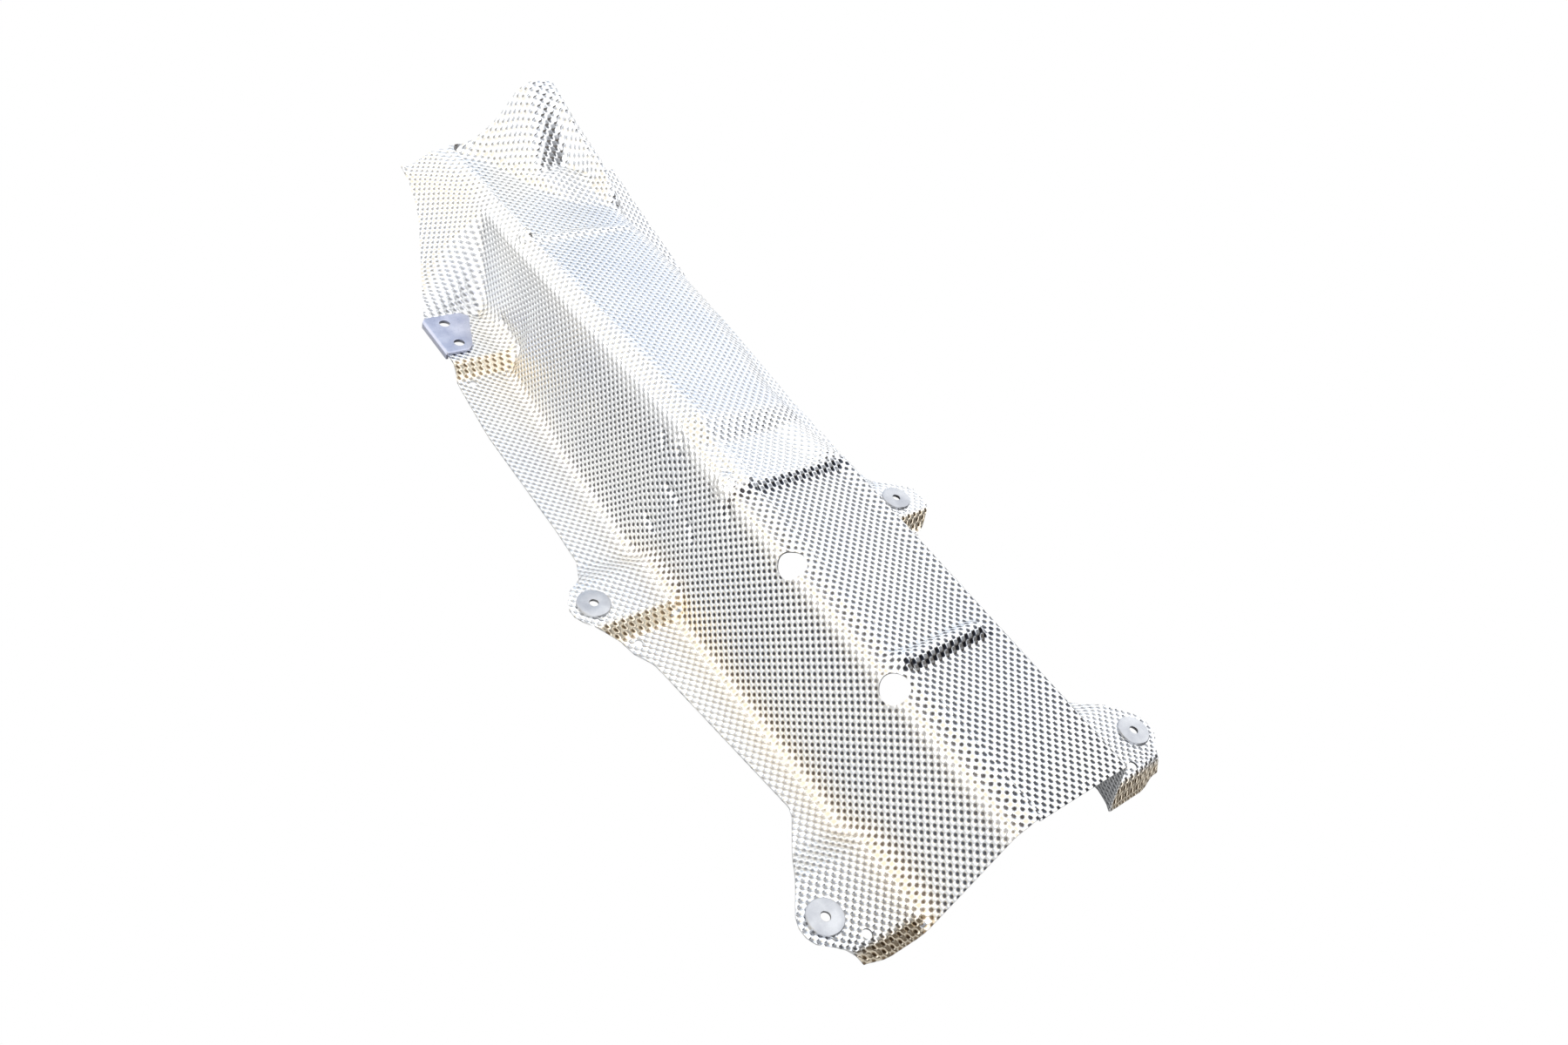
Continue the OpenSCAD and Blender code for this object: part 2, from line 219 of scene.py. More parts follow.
def edge_left(x):
    line = look(x, (X0, -9), (EAR_F - 17, 6), (EAR_F + 14, 12), (EAR_F + 52, -18),
                (EAR_F + 73, -34), (EAR_M - 58, -17), (EAR_M - 44, -9), (EAR_M - 30, -6),
                (EAR_M - 18, 9), (EAR_M + 18, 10), (EAR_M + 26, -4), (EAR_M + 48, -16),
                (EAR_M + 82, -18), (EAR_B - 118, -20), (EAR_B - 50, -27), (EAR_B - 40, -30),
                (WING - 4, -30), (WING + 30, -42), (WING + 80, -61), (WING + 98, -65),
                (X1 - 16, -66), (X1, -66))
    return WASHER_Y + np.maximum(line, np.maximum(
        round_end(x, EAR_F, 0, EAR_R), round_end(x, EAR_M, 0, EAR_R)))


def edge_right(x):
    line = look(x, (X0, -1), (EAR_F - 17, 6), (EAR_F + 20, 8), (EAR_F + 40, -14),
                (EAR_F + 73, -26), (EAR_M - 145, -16), (EAR_M - 50, -16), (EAR_M - 38, -12),
                (EAR_M - 28, 4), (EAR_M - 17, 15), (EAR_M - 8, 17), (EAR_M + 5, 17),
                (EAR_M + 25, -10), (EAR_M + 40, -7), (EAR_M + 157, -4), (RIB - 45, 6),
                (WING, 5), (WING + 90, -10), (X1, -15))
    return -WASHER_Y - np.maximum(line, np.maximum(
        round_end(x, EAR_F, 0, EAR_R), round_end(x, EAR_M, -MID_INSET, EAR_R)))


def bend(a, b, c, r, n, most=0.8):
    """n points round the corner b between a and c, with radius r or what fits."""
    u, v = (a - b), (c - b)
    lu, lv = np.linalg.norm(u), np.linalg.norm(v)
    u, v = u / lu, v / lv
    turn = math.pi - math.acos(max(-1.0, min(1.0, float(u @ v))))
    cut = min(r * math.tan(turn / 2), lu * 0.45, lv * most)
    s, e = b + cut * u, b + cut * v
    t = np.linspace(0, 1, n)[:, None]
    return (1 - t) ** 2 * s + 2 * t * (1 - t) * b + t * t * e


def top_z(x, y, yl, yr, hl, hr):
    middle, half = (yl + yr) / 2, (yl - yr) / 2
    inner = (panel_h(x) + hump(x, y) + CROWN * (1 - ((y - middle) / half) ** 2)
             + bead_at(x, y, yl - 3, yr + 6) + bank_at(x, y, yr))
    return mix(hr, mix(hl, inner, ease(0, BLEND_W, yl - y)), ease(0, BLEND_W, y - yr))


def askew(x, y, yl, yr):
    """How far along X the sheet is pushed, so that its steps and ends run askew."""
    middle, half = (yl + yr) / 2, (yl - yr) / 2
    t = (y - middle) / half
    turn = np.where(np.abs(t) < 1, t, np.sign(t) * np.maximum(0, 2 - np.abs(t)))
    return (half * turn * look(x, (BEAD + 10, 0), (LOW, 0.045), (HIGH, 0),
                               (HIGH + HIGH_RUN, 0.1), (HIGH + 110, 0))
            + 5 * ease(WASHER_Y - 28, WASHER_Y - 4, np.abs(y))
            * (1 - ramp(X0, X0 + 20, x)))


# The pressed sheet, as one mesh.
PITCH = 4.69                  # of the embossing, along its own diagonal rows
CELLS_X = 235
HX = LENGTH / CELLS_X         # grid step along the tunnel, half a diagonal
HS = PITCH / math.sqrt(2)     # grid step across it
DEPTH = 0.9                   # depth of the pits below the net between them
TURN = math.tan(math.radians(3))   # the rows of pits run this much askew
TOP_CELLS = 33                # grid steps between the two ridges
ROUND = 1.4                   # rounding of the steps along X, in half steps
TOPS = 90                     # points of a section between its two ridges
BEND_N = 11                   # points of a section on each bend

xs = X0 + np.arange(2 * CELLS_X + 1) * HX / 2


def smooth(values, sigma):
    """Gaussian smoothing along the first axis, ends held."""
    reach = int(math.ceil(3 * sigma))
    k = np.exp(-0.5 * (np.arange(-reach, reach + 1) / sigma) ** 2)
    k /= k.sum()
    v = np.asarray(values, float)
    head = 2 * v[:1] - v[1:reach + 1][::-1]
    tail = 2 * v[-1:] - v[-reach - 1:-1][::-1]
    long = np.concatenate([head, v, tail])
    return sum(w * long[i:i + len(v)] for i, w in enumerate(k))


yl_, yr_ = smooth(ridge_left(xs), 3), smooth(ridge_right(xs), 3)
hl_, hr_ = smooth(ridge_left_h(xs), 2), smooth(ridge_right_h(xs), 2)
ll_, lr_ = smooth(lift_left(xs), 1.2), smooth(lift_right(xs), 1.2)
fl_, fr_ = smooth(corner_left(xs), 2), smooth(foot_right(xs), 3)
cl_ = smooth(corner_left_h(xs), 1.2)
inset = RIDGE_R * 0.7
share = np.linspace(0, 1, TOPS)
tops_y = np.array([mix(a - inset, b + inset, share) for a, b in zip(yl_, yr_)])
tops_z = np.array([top_z(x, y, a, b, c, d) for x, y, a, b, c, d
                   in zip(xs, tops_y, yl_, yr_, hl_, hr_)])
sharp = np.maximum(pad(BEAD - 13, BEAD - 11, BEAD + 11, BEAD + 13, xs),
                   pad(LOW - 9, LOW - 7, LOW + 7, LOW + 9, xs))[:, None]
tops_z = mix(smooth(tops_z, ROUND), smooth(tops_z, 0.5), sharp)


def section(i):
    """Points (y, z) of the upper face at station i, with its two ridge points."""
    x = xs[i]
    yl, yr, hl, hr, ll, lr = yl_[i], yr_[i], hl_[i], hr_[i], ll_[i], lr_[i]
    el, er = np.array([edge_left(x), ll]), np.array([edge_right(x), lr])
    fl = np.array([fl_[i], cl_[i]])
    fr = np.array([fr_[i] + (yr - fr_[i]) * lr / hr, lr])
    rl, rr = np.array([yl, hl]), np.array([yr, hr])
    bl = mix(FOOT_R, EAR_FOOT_R, min(1, ll / PAD_H))
    br = mix(FOOT_R, EAR_FOOT_R, min(1, lr / PAD_H))
    tops = np.stack([tops_y[i], tops_z[i]], 1)
    b1 = bend(el, fl, rl, bl, BEND_N, 0.5)
    b2 = bend(fl, rl, tops[0], RIDGE_R, BEND_N)
    b3 = bend(tops[-1], rr, fr, RIDGE_R, BEND_N)
    b4 = bend(rr, fr, er, br, BEND_N)
    points = np.concatenate([[el], b1, b2[:-1], tops, b3[1:], b4, [er]])
    at_l = 1 + BEND_N + BEND_N // 2
    at_r = 1 + BEND_N + (BEND_N - 1) + TOPS + (BEND_N // 2 - 1)
    return points, at_l, at_r


def station(i):
    """The section at station i as a function of t, the place across the sheet in grid
    steps: 0 at the left ridge and TOP_CELLS at the right one."""
    p, at_l, at_r = section(i)
    run = np.concatenate([[0], np.cumsum(np.linalg.norm(np.diff(p, axis=0), axis=1))])
    t = np.empty(len(run))
    drift = (xs[i] - X0) * TURN / HS
    sl, sr = run[at_l], run[at_r]
    left, right = run <= sl, run >= sr
    middle = ~left & ~right
    t[left] = (run[left] - sl) / HS
    t[middle] = (run[middle] - sl) * TOP_CELLS / (sr - sl)
    t[right] = TOP_CELLS + (run[right] - sr) / HS
    t += drift
    d = np.gradient(p, run, axis=0)
    n = np.stack([d[:, 1], -d[:, 0]], 1)
    n /= np.linalg.norm(n, axis=1)[:, None]
    return t, p, n


rows = [station(i) for i in range(len(xs))]
t_min = np.array([r[0][0] for r in rows])
t_max = np.array([r[0][-1] for r in rows])
J0, J1 = int(math.floor(t_min.min())) - 1, int(math.ceil(t_max.max())) + 1


def at(i, t):
    """Places of the sheet's plain upper face at station i and steps t, with the two
    parts of its normal in the section."""
    tt, p, n = rows[i]
    y, z = np.interp(t, tt, p[:, 0]), np.interp(t, tt, p[:, 1])
    ny, nz = np.interp(t, tt, n[:, 0]), np.interp(t, tt, n[:, 1])
    length = np.hypot(ny, nz)
    x = xs[i] + askew(xs[i], y, yl_[i], yr_[i])
    return x, y, z + SHEET, ny / length, nz / length


WASHERS = {"washer_front_left": (EAR_F, WASHER_Y), "washer_front_right": (EAR_F, -WASHER_Y),
           "washer_mid_left": (EAR_M, WASHER_Y),
           "washer_mid_right": (EAR_M, MID_INSET - WASHER_Y)}


PORTS = [(px, TOP_L - 1, float(ridge_left_h(px))) for px in (PORT_1, PORT_2)]
HOLES = [(EAR_F, WASHER_Y, EAR_HOLE), (EAR_F, -WASHER_Y, EAR_HOLE),
         (EAR_M, WASHER_Y, EAR_HOLE), (EAR_M, MID_INSET - WASHER_Y, EAR_HOLE),
         (EAR_F - 21, WASHER_Y - 17, DRAIN), (EAR_F - 21, 25 - WASHER_Y, DRAIN),
         (EAR_M - 37, WASHER_Y - 17, DRAIN - 1), (EAR_B - 54, PLATE_EDGE - 9, DRAIN - 1)]
HOLES += [(EAR_B + side * PLATE_PITCH / 2, PLATE_EDGE - 15, PLATE_HOLE + 1.5)
          for side in (-1, 1)]


def from_axis(x, y, z, port):
    """Distance of a point from the axis of a port."""
    a = math.radians(PORT_TILT)
    return np.hypot(x - port[0], (y - port[1]) * math.cos(a) - (z - port[2]) * math.sin(a))


def lips(x, y):
    """1 on the steep lips at the fronts of the ears."""
    far_out = ease(88, 96, np.abs(y))
    return np.maximum(
        far_out * np.maximum(pad(EAR_M - 33, EAR_M - 30, EAR_M - 20, EAR_M - 17, x),
                             1 - ease(X0 + 8, X0 + 12, x)),
        ease(68, 74, y) * pad(EAR_B - 49, EAR_B - 46, EAR_B - 35, EAR_B - 32, x))


# where the embossing starts and is whole: from a washer's centre, and from the edges
# of the holes and the ports
ROUND_WASHER, ROUND_HOLE, ROUND_PORT = (15.5, 19.5), (0.5, 3.0), (0.3, 2.5)
FORMED_FLAT, LIP_FLAT = 0.8, 0.55    # how much of it the bead and the lips press flat
ON_TOP = 60.0                 # above this height a point is on the top or high walls


def embossed(x, y, z):
    """1 where the sheet is embossed, 0 where it is pressed flat under a washer or along
    the edge of a hole."""
    m = np.ones_like(y)
    for wx, wy in WASHERS.values():
        m = np.minimum(m, ease(*ROUND_WASHER, np.hypot(x - wx, y - wy)))
    for hx, hy, d in HOLES:
        off_edge = np.hypot(x - hx, y - hy)
        m = np.minimum(m, ease(d / 2 + ROUND_HOLE[0], d / 2 + ROUND_HOLE[1], off_edge))
    formed = np.maximum(pad(BEAD - 9, BEAD - 5, BEAD + 5, BEAD + 9, x) * pad(-44, -38, 44, 50, y),
                        0.4 * pad(LOW - 7, LOW - 3, LOW + 1, LOW + 4, x) * (z > 80))
    m = m * (1 - FORMED_FLAT * formed) * (1 - LIP_FLAT * lips(x, y))
    for port in PORTS:
        near = from_axis(x, y, z, port)
        clear = ease(PORT / 2 + ROUND_PORT[0], PORT / 2 + ROUND_PORT[1], near)
        m = np.minimum(m, np.where(z > ON_TOP, clear, 1.0))
    return m


# short creases left in the sheet: from, to, half width and depth
CREASES = [((-36, 72, 60), (-52, 73, 59), 2.4, 1.7), ((-33, 83, 31), (-46, 85, 29), 2.6, 1.7),
           ((-33, 94, 7), (-50, 96, 12), 3.0, 1.6), ((-70, 75, 55), (-83, 78, 49), 2.2, 1.3),
           ((-95, 91, 20), (-108, 97, 9), 2.8, 1.6), ((-85, 58.7, 94), (-97, 65, 81.5), 1.8, 1.6),
           ((-86, 63, 87), (-92, 66, 80), 1.6, 1.0), ((-5, 61.7, 85), (-11, 64, 79), 1.8, 1.3),
           ((-22, 58.8, 94), (-29, 62.4, 84), 1.8, 1.6), ((227, 66, 22), (190, 69, 18), 4.0, 2.2),
           ((266, 72, 24), (256, 75, 14), 4.0, 2.6)]
# round bosses: centre, radius and height
BOSSES = [((RIB + 1.5, 44.5), 7.5, 3.0), ((-76, 57.6), 9.0, 2.4)]


def dents(x, y, z):
    """How far the sheet stands off its plain form, along its own normal."""
    p = np.stack([x, y, z], -1)
    off = np.zeros_like(y)
    for a, b, half, depth in CREASES:
        a, b = np.array(a, float), np.array(b, float)
        t = np.clip((p - a) @ (b - a) / ((b - a) @ (b - a)), 0, 1)
        d = np.linalg.norm(p - a - t[..., None] * (b - a), axis=-1)
        off -= depth * np.exp(-(d / half) ** 2)
    for (bx, by), r, h in BOSSES:
        off += h * (1 - ease(0.3 * r, r, np.hypot(x - bx, y - by))) * (z > ON_TOP)
    return off


def half_grid(i):
    """Steps t of the vertices at station i: corners on whole stations, the middles of
    the edges on the stations between, and both ends on the outline."""
    return np.arange(2 * J0, 2 * J1 + 1, 1 if i % 2 == 0 else 2) / 2.0


# the most painted shade a pit can take; past 1 the painted shade runs out of the pits
DARKEST_PAINTED_SHADE = 1.7


def painted_light(i, x, y, z, t):
    """Painted shade for the pits, up to the limit set above, and a painted golden reflection
    for the sheet, up to 1. Past 1 the painted shade runs out of the pits, as on the face of the
    bead."""
    d = t - (xs[i] - X0) * TURN / HS
    # how much painted shade the pits take along X, on the top, the walls and the flanges
    top = look(x, (X0, 1.0), (-120, 0.85), (LOW - 9, 0.85), (LOW - 7, 1.0), (LOW + 2, 1.0),
               (LOW + 5, 0.25), (HIGH - 4, 0.25), (HIGH + 4, 0.7), (HIGH + HIGH_RUN, 0.42),
               (X1, 0.45))
    wall = look(x, (X0, 0.95), (-150, 1.0), (40, 0.9), (130, 0.65), (200, 0.4), (WING, 0.32))
    flange = look(x, (X0, 0.8), (-330, 0.6), (-290, 0.3), (-130, 0.25), (60, 0.4), (EAR_B, 0.5))
    dark = np.where(d < -3, wall, top)
    # less painted shade along the left ridge: a painted highlight
    ridge = 1 - 0.5 * np.exp(-((d + 0.6) / look(xs[i], (-150, 1.5), (0, 3.2))) ** 2)
    dark = mix(flange, dark * ridge, ease(12, 17, z - cl_[i] + PAD_H * (z < 60)))
    # painted golden reflection along the foot of the left wall and, weaker, along its ridge
    foot = np.hypot(y - fl_[i], z - cl_[i])
    crest = np.hypot(y - yl_[i], z - hl_[i])
    painted_gold = np.maximum(np.exp(-(foot / 17) ** 2), 0.5 * np.exp(-(crest / 11) ** 2))
    painted_gold = painted_gold * look(x, (X0, 0.55), (-60, 0.4), (0, 0.1), (EAR_B - 60, 0.3), (WING, 0.1))
    # painted shade on the face of the bead and of the low step, running out of the pits
    face = (pad(BEAD - 9, BEAD - 7, BEAD - 3, BEAD - 1, x) * pad(-44, -38, 44, 50, y)
            + 0.6 * pad(LOW - 5, LOW - 3, LOW + 1, LOW + 3, x) * (z > 80))
    dark = dark + 0.7 * face
    # painted shade and painted golden reflection on the lips at the fronts of the ears
    lip = lips(x, y)
    dark, painted_gold = np.maximum(dark, 0.9 * lip), np.maximum(painted_gold, 0.9 * lip)
    return np.clip(dark, 0, DARKEST_PAINTED_SHADE), np.clip(painted_gold, 0, 1)


# per vertex: the painted shade of its pits and its painted golden reflection
verts, uvs, painted_light_values = [], [], []


# the last two values are the painted shade of the pits and the painted golden reflection
def add(x, y, z, u, v, dark=0.7, painted_gold=0.0):
    verts.append((x, y, z))
    uvs.append((u, v))
    painted_light_values.append((dark, painted_gold))
    return len(verts) - 1


BOX_Y, BOX_Z = 170.97, 156.29  # just inside the solid's half width and height, mm


def inside_box(y, z):
    return np.clip(y, -BOX_Y, BOX_Y), np.clip(z, 0.0, BOX_Z)


SNAP = 0.16                   # nearer than this to the outline, a vertex is on it


def across(i, t):
    """Which of the steps t lie inside the outline at station i, and those steps with
    the two on the outline."""
    inside = (t > t_min[i] + SNAP) & (t < t_max[i] - SNAP)
    return inside, np.concatenate([[t_min[i]], t[inside], [t_max[i]]])


def numbered(i, t, inside, first, last):
    """The vertex of each step t, where those outside take the one on the outline."""
    ids, k = [], first + 1
    for value, isin in zip(t, inside):
        if isin:
            ids.append(k)
            k += 1
        else:
            ids.append(first if value < (t_min[i] + t_max[i]) / 2 else last)
    return ids


grid = {}
left_rim, right_rim = [], []
for i in range(len(xs)):
    t = half_grid(i)
    inside, tt = across(i, t)
    x, y, z, ny, nz = at(i, tt)
    wave = np.cos(np.pi * i / 2) * np.cos(np.pi * tt)
    off = dents(x, y, z) - DEPTH * ((1 - wave) / 2) ** 2 * embossed(x, y, z)
    y2, z2 = inside_box(y + ny * off, z + nz * off)
    # painted shade of the pits and painted golden reflection at these vertices
    dark, painted_gold = painted_light(i, x, y, z, tt)
    first = len(verts)
    for k in range(len(tt)):
        add(x[k], y2[k], z2[k], i / 2, tt[k], dark[k], painted_gold[k])
    left_rim.append(first)
    right_rim.append(len(verts) - 1)
    ids = numbered(i, t, inside, first, right_rim[-1])
    grid[i] = {int(round(value * 2)): k for value, k in zip(t, ids)}

faces = []


def tri(a, b, c):
    if a != b and b != c and a != c:
        faces.append((a, c, b))


def paired_off(triangles):
    """Without the triangles that lie back to back, as the cells past the outline do."""
    seen = {}
    for n, f in enumerate(triangles):
        key = tuple(sorted(f))
        if key in seen:
            del seen[key]
        else:
            seen[key] = n
    return [triangles[n] for n in sorted(seen.values())]


for i in range(0, 2 * CELLS_X, 2):
    g0, g1, g2 = grid[i], grid[i + 1], grid[i + 2]
    for j in range(2 * J0, 2 * J1, 2):
        a, b, c = g0[j], g0[j + 1], g0[j + 2]
        d, e = g1[j], g1[j + 2]
        f, g, h = g2[j], g2[j + 1], g2[j + 2]
        # the cell has eight vertices: its four corners are cut off along the middles of
        # its edges, and the square that is left is split
        tri(a, d, b)
        tri(b, e, c)
        tri(d, f, g)
        tri(g, h, e)
        tri(b, d, g)
        tri(b, g, e)

# lower face: a plain, coarser grid
FIRST_UNDER = len(verts)
UNDER_X, UNDER_T = 4, 2
under = {}
under_left, under_right = [], []
stations_under = list(range(0, 2 * CELLS_X, UNDER_X)) + [2 * CELLS_X]
for i in stations_under:
    t = np.arange(2 * J0, 2 * J1 + 1, UNDER_T) / 2.0
    inside, tt = across(i, t)
    x, y, z, ny, nz = at(i, tt)
    off = dents(x, y, z) - SHEET
    y2, z2 = inside_box(y + ny * off, z + nz * off)
    first = len(verts)
    for k in range(len(tt)):
        add(x[k], y2[k], z2[k], i / 2, tt[k])
    under_left.append(first)
    under_right.append(len(verts) - 1)
    under[i] = numbered(i, t, inside, first, under_right[-1])
for a, b in zip(stations_under, stations_under[1:]):
    p, q = under[a], under[b]
    for k in range(len(p) - 1):
        tri(p[k], p[k + 1], q[k])
        tri(p[k + 1], q[k + 1], q[k])


def zipper(top, low, key, flip):
    """Closes the rim between two rows of vertices, both in order of key."""
    a, b = 0, 0
    while a < len(top) - 1 or b < len(low) - 1:
        go_top = b == len(low) - 1 or (
            a < len(top) - 1 and key(top[a + 1]) <= key(low[b + 1]))
        if go_top:
            three = (top[a], low[b], top[a + 1])
            a += 1
        else:
            three = (top[a], low[b], low[b + 1])
            b += 1
        tri(*(three[::-1] if flip else three))


def unique(seq):
    """Without repeats that follow each other."""
    out = []
    for s in seq:
        if not out or out[-1] != s:
            out.append(s)
    return out


zipper(left_rim, under_left, lambda v: uvs[v][0], False)
zipper(right_rim, under_right, lambda v: uvs[v][0], True)
for i, flip in ((0, True), (2 * CELLS_X, False)):
    row = unique([grid[i][j] for j in sorted(grid[i])])
    zipper(row, unique(under[i]), lambda v: uvs[v][1], flip)

faces = paired_off(faces)
scene = bpy.context.scene


def new_object(name, mesh):
    obj = bpy.data.objects.new(name, mesh)
    scene.collection.objects.link(obj)
    return obj


def applied(obj):
    """The object with its modifiers worked into its mesh."""
    graph = bpy.context.evaluated_depsgraph_get()
    mesh = bpy.data.meshes.new_from_object(obj.evaluated_get(graph))
    old = obj.data
    obj.modifiers.clear()
    obj.data = mesh
    bpy.data.meshes.remove(old)
    return obj


def cut(obj, holes):
    """Cuts round holes through the object: x, y, diameter, height of the middle, tilt
    about X and length, in mm and degrees."""
    bm = bmesh.new()
    for x, y, d, z, tilt, length in holes:
        place = (Matrix.Translation((x * MM, y * MM, z * MM))
                 @ Matrix.Rotation(math.radians(-tilt), 4, "X"))
        bmesh.ops.create_cone(bm, cap_ends=True, segments=64, radius1=d / 2 * MM,
                              radius2=d / 2 * MM, depth=length * MM, matrix=place)
    mesh = bpy.data.meshes.new("cutter")
    bm.to_mesh(mesh)
    bm.free()
    cutter = new_object("cutter", mesh)
    mod = obj.modifiers.new("holes", "BOOLEAN")
    mod.operation = "DIFFERENCE"
    mod.solver = "MANIFOLD"
    mod.object = cutter
    applied(obj)
    bpy.data.objects.remove(cutter)
    bpy.data.meshes.remove(mesh)
    return obj


def shade(mesh, angle):
    mesh.shade_smooth()
    mesh.set_sharp_from_angle(angle=math.radians(angle))


mesh = bpy.data.meshes.new("shield_sheet")
mesh.from_pydata([(x * MM, y * MM, z * MM) for x, y, z in verts], [], faces)
uv = mesh.uv_layers.new(name="lattice")
loops = np.empty(len(mesh.loops), np.int32)
mesh.loops.foreach_get("vertex_index", loops)
uv.data.foreach_set("uv", np.array(uvs, np.float32)[loops].ravel())
# the second UV map carries the painted shade of the pits and the painted golden reflection
uv = mesh.uv_layers.new(name="painted_light")
uv.data.foreach_set("uv", np.array(painted_light_values, np.float32)[loops].ravel())
lower = np.array([1 if min(f) >= FIRST_UNDER else 0 for f in faces], np.int32)
mesh.polygons.foreach_set("material_index", lower)
sheet = new_object("shield_sheet", mesh)


# Materials.
def material(name):
    mat = bpy.data.materials.new(name)
    mat.use_nodes = True
    tree = mat.node_tree
    return mat, tree, tree.nodes["Principled BSDF"]


def node(tree, kind, **values):
    n = tree.nodes.new(kind)
    for key, value in values.items():
        setattr(n, key, value)
    return n


def ramp_node(tree, source, *stops):
    n = node(tree, "ShaderNodeValToRGB")
    tree.links.new(source, n.inputs[0])
    ends = n.color_ramp.elements
    while len(ends) < len(stops):
        ends.new(0.5)
    for e, (pos, colour) in zip(ends, stops):
        e.position = pos
        e.color = (*colour, 1) if len(colour) == 3 else colour
    return n.outputs[0]


def noise(tree, coords, scale, detail=3.0, rough=0.55):
    n = node(tree, "ShaderNodeTexNoise")
    n.inputs["Scale"].default_value = scale
    n.inputs["Detail"].default_value = detail
    n.inputs["Roughness"].default_value = rough
    tree.links.new(coords, n.inputs["Vector"])
    return n.outputs["Fac"]


def math_node(tree, op, a, b=None, c=None):
    n = node(tree, "ShaderNodeMath", operation=op)
    for socket, v in zip(n.inputs, (a, b, c)):
        if v is None:
            continue
        if isinstance(v, (int, float)):
            socket.default_value = v
        else:
            tree.links.new(v, socket)
    return n.outputs[0]


def mixed(tree, fac, a, b, blend="MIX"):
    n = node(tree, "ShaderNodeMix", data_type="RGBA", blend_type=blend)
    for key, v in (("Factor", fac), ("A", a), ("B", b)):
        socket = [q for q in n.inputs if q.name == key and q.enabled][0]
        if isinstance(v, (int, float)):
            socket.default_value = v
        elif isinstance(v, tuple):
            socket.default_value = (*v, 1)
        else:
            tree.links.new(v, socket)
    return [q for q in n.outputs if q.enabled][0]


def bump(tree, height, strength, distance, normal=None):
    n = node(tree, "ShaderNodeBump")
    n.inputs["Strength"].default_value = strength
    n.inputs["Distance"].default_value = distance
    tree.links.new(height, n.inputs["Height"])
    if normal:
        tree.links.new(normal, n.inputs["Normal"])
    return n.outputs["Normal"]


# colours of the sheet, linear: the painted shade in its pits, and the painted golden reflection on
# net and pits
PAINTED_PIT_SHADE = (0.04, 0.045, 0.06)
PAINTED_GOLD_REFLECTION, PAINTED_GOLD_PIT_SHADE = (0.95, 0.84, 0.66), (0.20, 0.12, 0.05)


def sheet_material(name, under):
    """Bright aluminium whose pits follow the lattice that the mesh is pressed in."""
    mat, tree, bsdf = material(name)
    coords = node(tree, "ShaderNodeTexCoord").outputs["Object"]
    bsdf.inputs["Metallic"].default_value = 1.0
    wide = noise(tree, coords, 14, 4)
    fine = noise(tree, coords, 420, 3)
    tone = ramp_node(tree, wide, (0.3, (0.80, 0.82, 0.86)), (0.7, (0.93, 0.93, 0.92)))
    gloss = math_node(tree, "MULTIPLY_ADD", fine, 0.14, 0.16)
    tree.links.new(gloss, bsdf.inputs["Roughness"])
    normal = bump(tree, fine, 0.12, 0.0006)
    uvn = node(tree, "ShaderNodeUVMap", uv_map="lattice")
    split = node(tree, "ShaderNodeSeparateXYZ")
    tree.links.new(uvn.outputs[0], split.inputs[0])
    cu = math_node(tree, "COSINE", math_node(tree, "MULTIPLY", split.outputs[0], math.pi))
    cv = math_node(tree, "COSINE", math_node(tree, "MULTIPLY", split.outputs[1], math.pi))
    wave = math_node(tree, "MULTIPLY", cu, cv)
    pit = node(tree, "ShaderNodeMapRange", interpolation_type="SMOOTHSTEP")
    tree.links.new(wave, pit.inputs["Value"])
    pit.inputs["From Min"].default_value = -0.75
    pit.inputs["From Max"].default_value = 0.35
    normal = bump(tree, pit.outputs[0], 1.0, (0.9 if under else 0.55) * MM, normal)
    # painted shade held in the bottoms of the pits: the mask grows with u of the second UV map
    second = node(tree, "ShaderNodeUVMap", uv_map="painted_light")
    parts = node(tree, "ShaderNodeSeparateXYZ")
    tree.links.new(second.outputs[0], parts.inputs[0])
    narrower = math_node(tree, "MULTIPLY_ADD", parts.outputs[0], -0.45, 0.45)
    painted_pit_shade = node(tree, "ShaderNodeMapRange", interpolation_type="SMOOTHSTEP")
    tree.links.new(math_node(tree, "ADD", wave, narrower), painted_pit_shade.inputs["Value"])
    painted_pit_shade.inputs["From Min"].default_value = -0.05
    painted_pit_shade.inputs["From Max"].default_value = -0.65
    painted_pit_shade.inputs["To Max"].default_value = 0.98
    # the painted golden reflection tints the net and the painted shade of the pits
    tone = mixed(tree, parts.outputs[1], tone, PAINTED_GOLD_REFLECTION)
    painted_pit_colour = mixed(tree, parts.outputs[1], PAINTED_PIT_SHADE, PAINTED_GOLD_PIT_SHADE)
    strength = math_node(tree, "MULTIPLY_ADD", parts.outputs[0], 0.7, 0.3)
    depth = math_node(tree, "MULTIPLY", painted_pit_shade.outputs["Result"], strength)
    tree.links.new(mixed(tree, depth, tone, painted_pit_colour), bsdf.inputs["Base Color"])
    tree.links.new(normal, bsdf.inputs["Normal"])
    return mat


def steel_material(name, base, dark, rough):
    mat, tree, bsdf = material(name)
    coords = node(tree, "ShaderNodeTexCoord").outputs["Object"]
    bsdf.inputs["Metallic"].default_value = 1.0
    wide = noise(tree, coords, 60, 4)
    fine = noise(tree, coords, 900, 3)
    tree.links.new(ramp_node(tree, wide, (0.35, dark), (0.65, base)),
                   bsdf.inputs["Base Color"])
    tree.links.new(math_node(tree, "MULTIPLY_ADD", fine, 0.2, rough),
                   bsdf.inputs["Roughness"])
    tree.links.new(bump(tree, fine, 0.15, 0.0003), bsdf.inputs["Normal"])
    return mat


